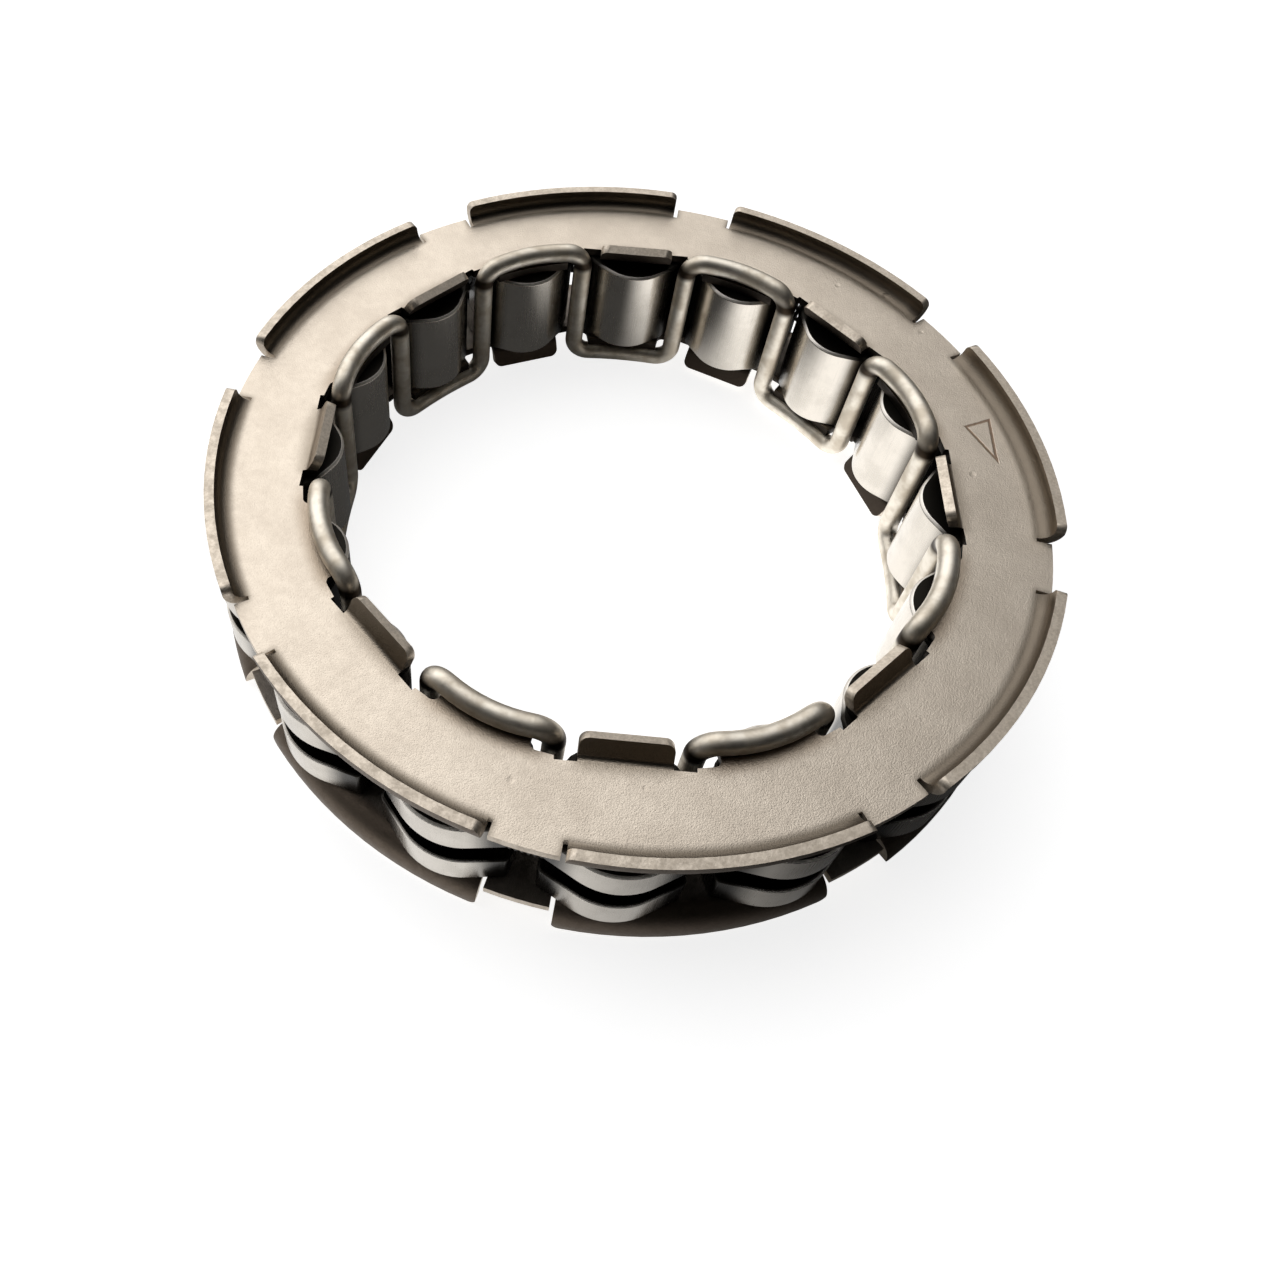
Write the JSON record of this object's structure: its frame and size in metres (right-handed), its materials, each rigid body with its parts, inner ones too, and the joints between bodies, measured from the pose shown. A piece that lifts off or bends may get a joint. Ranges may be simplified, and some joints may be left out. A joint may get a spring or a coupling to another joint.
{
  "type": "sprag clutch insert",
  "caption": "Caged sprag clutch insert: sprags held between two bent sheet plates by a wound wire, for one-way drive between a shaft and an outer race.",
  "frame": {"origin": "on the clutch axis, halfway between the two end faces", "axes": "+Z along the clutch axis; +X through the middle of the first sprag"},
  "size_m": [0.0662, 0.0662, 0.0138],
  "materials": {
    "cage_sheet": "tumbled matte, warm grey, sheared edges a little rough",
    "wire": "smooth drawn wire, soft sheen",
    "spring": "dark oiled spring wire",
    "sprag": "ground and hardened, satin bright"
  },
  "bodies": {
    "cage": {"upper_cage_plate": "cage_sheet", "lower_cage_plate": "cage_sheet", "cage_wire": "wire", "garter_spring": "spring"},
    "sprag_01_body": {"sprag_01": "sprag"},
    "sprag_02_body": {"sprag_02": "sprag"},
    "sprag_03_body": {"sprag_03": "sprag"},
    "sprag_04_body": {"sprag_04": "sprag"},
    "sprag_05_body": {"sprag_05": "sprag"},
    "sprag_06_body": {"sprag_06": "sprag"},
    "sprag_07_body": {"sprag_07": "sprag"},
    "sprag_08_body": {"sprag_08": "sprag"},
    "sprag_09_body": {"sprag_09": "sprag"},
    "sprag_10_body": {"sprag_10": "sprag"},
    "sprag_11_body": {"sprag_11": "sprag"},
    "sprag_12_body": {"sprag_12": "sprag"},
    "sprag_13_body": {"sprag_13": "sprag"},
    "sprag_14_body": {"sprag_14": "sprag"},
    "sprag_15_body": {"sprag_15": "sprag"},
    "sprag_16_body": {"sprag_16": "sprag"}
  },
  "joints": [
    {"name": "sprag_01_tilt", "type": "hinge", "parent": "cage", "child": "sprag_01_body", "pos_m": [0.028, 0, 0], "axis": [0, 0, 1], "range_deg": [0, 6], "stiffness_Nm_per_rad": 0.004},
    {"name": "sprag_02_tilt", "type": "hinge", "parent": "cage", "child": "sprag_02_body", "pos_m": [0.02587, 0.01072, 0], "axis": [0, 0, 1], "range_deg": [0, 6], "stiffness_Nm_per_rad": 0.004},
    {"name": "sprag_03_tilt", "type": "hinge", "parent": "cage", "child": "sprag_03_body", "pos_m": [0.0198, 0.0198, 0], "axis": [0, 0, 1], "range_deg": [0, 6], "stiffness_Nm_per_rad": 0.004},
    {"name": "sprag_04_tilt", "type": "hinge", "parent": "cage", "child": "sprag_04_body", "pos_m": [0.01072, 0.02587, 0], "axis": [0, 0, 1], "range_deg": [0, 6], "stiffness_Nm_per_rad": 0.004},
    {"name": "sprag_05_tilt", "type": "hinge", "parent": "cage", "child": "sprag_05_body", "pos_m": [0, 0.028, 0], "axis": [0, 0, 1], "range_deg": [0, 6], "stiffness_Nm_per_rad": 0.004},
    {"name": "sprag_06_tilt", "type": "hinge", "parent": "cage", "child": "sprag_06_body", "pos_m": [-0.01072, 0.02587, 0], "axis": [0, 0, 1], "range_deg": [0, 6], "stiffness_Nm_per_rad": 0.004},
    {"name": "sprag_07_tilt", "type": "hinge", "parent": "cage", "child": "sprag_07_body", "pos_m": [-0.0198, 0.0198, 0], "axis": [0, 0, 1], "range_deg": [0, 6], "stiffness_Nm_per_rad": 0.004},
    {"name": "sprag_08_tilt", "type": "hinge", "parent": "cage", "child": "sprag_08_body", "pos_m": [-0.02587, 0.01072, 0], "axis": [0, 0, 1], "range_deg": [0, 6], "stiffness_Nm_per_rad": 0.004},
    {"name": "sprag_09_tilt", "type": "hinge", "parent": "cage", "child": "sprag_09_body", "pos_m": [-0.028, 0, 0], "axis": [0, 0, 1], "range_deg": [0, 6], "stiffness_Nm_per_rad": 0.004},
    {"name": "sprag_10_tilt", "type": "hinge", "parent": "cage", "child": "sprag_10_body", "pos_m": [-0.02587, -0.01072, 0], "axis": [0, 0, 1], "range_deg": [0, 6], "stiffness_Nm_per_rad": 0.004},
    {"name": "sprag_11_tilt", "type": "hinge", "parent": "cage", "child": "sprag_11_body", "pos_m": [-0.0198, -0.0198, 0], "axis": [0, 0, 1], "range_deg": [0, 6], "stiffness_Nm_per_rad": 0.004},
    {"name": "sprag_12_tilt", "type": "hinge", "parent": "cage", "child": "sprag_12_body", "pos_m": [-0.01072, -0.02587, 0], "axis": [0, 0, 1], "range_deg": [0, 6], "stiffness_Nm_per_rad": 0.004},
    {"name": "sprag_13_tilt", "type": "hinge", "parent": "cage", "child": "sprag_13_body", "pos_m": [0, -0.028, 0], "axis": [0, 0, 1], "range_deg": [0, 6], "stiffness_Nm_per_rad": 0.004},
    {"name": "sprag_14_tilt", "type": "hinge", "parent": "cage", "child": "sprag_14_body", "pos_m": [0.01072, -0.02587, 0], "axis": [0, 0, 1], "range_deg": [0, 6], "stiffness_Nm_per_rad": 0.004},
    {"name": "sprag_15_tilt", "type": "hinge", "parent": "cage", "child": "sprag_15_body", "pos_m": [0.0198, -0.0198, 0], "axis": [0, 0, 1], "range_deg": [0, 6], "stiffness_Nm_per_rad": 0.004},
    {"name": "sprag_16_tilt", "type": "hinge", "parent": "cage", "child": "sprag_16_body", "pos_m": [0.02587, -0.01072, 0], "axis": [0, 0, 1], "range_deg": [0, 6], "stiffness_Nm_per_rad": 0.004}
  ],
  "couplings": [
    {"joint": "sprag_02_tilt", "follows": "sprag_01_tilt", "ratio": 1},
    {"joint": "sprag_03_tilt", "follows": "sprag_01_tilt", "ratio": 1},
    {"joint": "sprag_04_tilt", "follows": "sprag_01_tilt", "ratio": 1},
    {"joint": "sprag_05_tilt", "follows": "sprag_01_tilt", "ratio": 1},
    {"joint": "sprag_06_tilt", "follows": "sprag_01_tilt", "ratio": 1},
    {"joint": "sprag_07_tilt", "follows": "sprag_01_tilt", "ratio": 1},
    {"joint": "sprag_08_tilt", "follows": "sprag_01_tilt", "ratio": 1},
    {"joint": "sprag_09_tilt", "follows": "sprag_01_tilt", "ratio": 1},
    {"joint": "sprag_10_tilt", "follows": "sprag_01_tilt", "ratio": 1},
    {"joint": "sprag_11_tilt", "follows": "sprag_01_tilt", "ratio": 1},
    {"joint": "sprag_12_tilt", "follows": "sprag_01_tilt", "ratio": 1},
    {"joint": "sprag_13_tilt", "follows": "sprag_01_tilt", "ratio": 1},
    {"joint": "sprag_14_tilt", "follows": "sprag_01_tilt", "ratio": 1},
    {"joint": "sprag_15_tilt", "follows": "sprag_01_tilt", "ratio": 1},
    {"joint": "sprag_16_tilt", "follows": "sprag_01_tilt", "ratio": 1}
  ]
}
